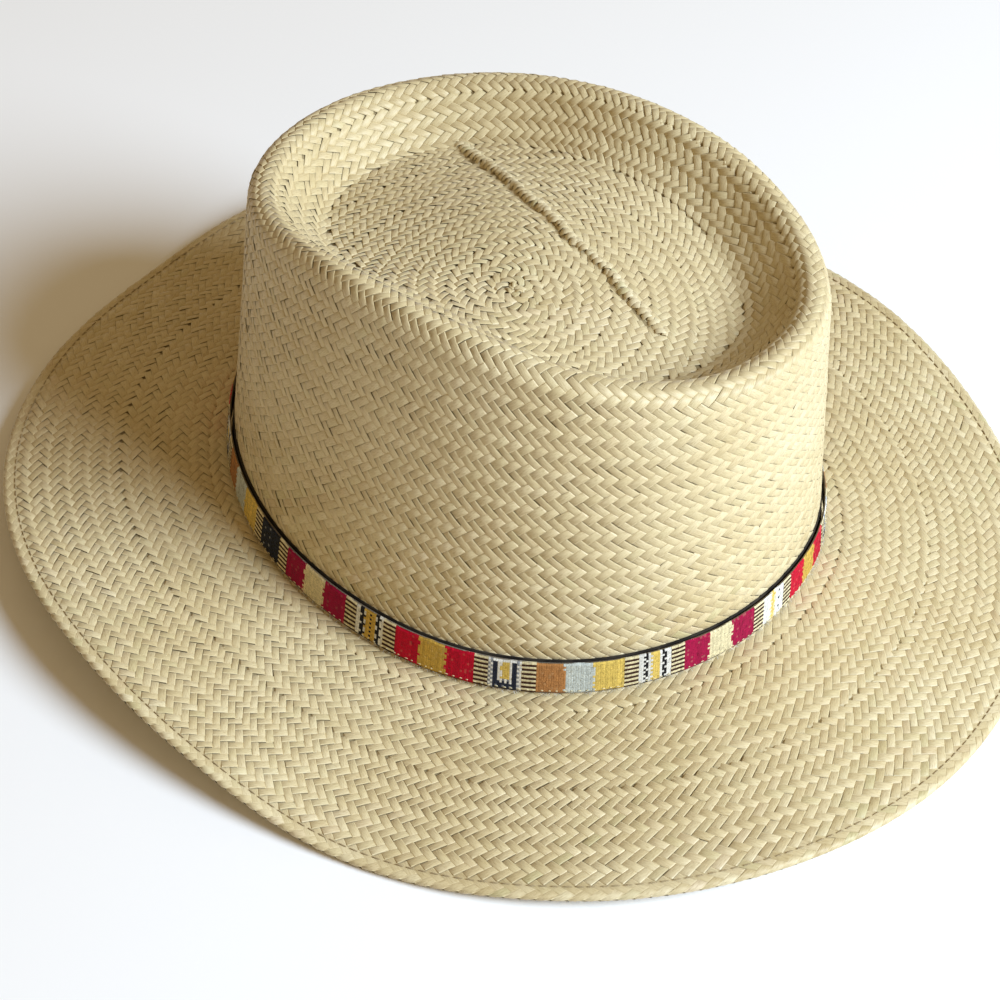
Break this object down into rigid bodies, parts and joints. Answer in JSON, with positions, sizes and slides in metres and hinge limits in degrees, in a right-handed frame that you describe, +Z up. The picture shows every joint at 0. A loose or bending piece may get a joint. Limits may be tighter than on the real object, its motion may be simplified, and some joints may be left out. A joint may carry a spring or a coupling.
{
  "type": "straw fedora",
  "caption": "Wide-brimmed straw hat with a tapering crown, a sunk oval top with a low dome, a wavy brim and a woven striped band.",
  "frame": {"origin": "middle of the hat's box, at the height of the table it lies on", "axes": "+Z up, the front of the hat towards -Y and its back towards +Y, the wearer's left side towards +X"},
  "size_m": [0.325, 0.3486, 0.1172],
  "materials": {
    "straw": "plaited natural straw with a soft sheen",
    "band_weave": "matte woven cotton in stripes of red, cream, gold, blue-grey and black",
    "band_backing": "matte black cloth"
  },
  "bodies": {
    "root": {"crown": "straw", "brim": "straw", "hatband": "band_weave", "hatband_backing": "band_backing"}
  },
  "joints": []
}
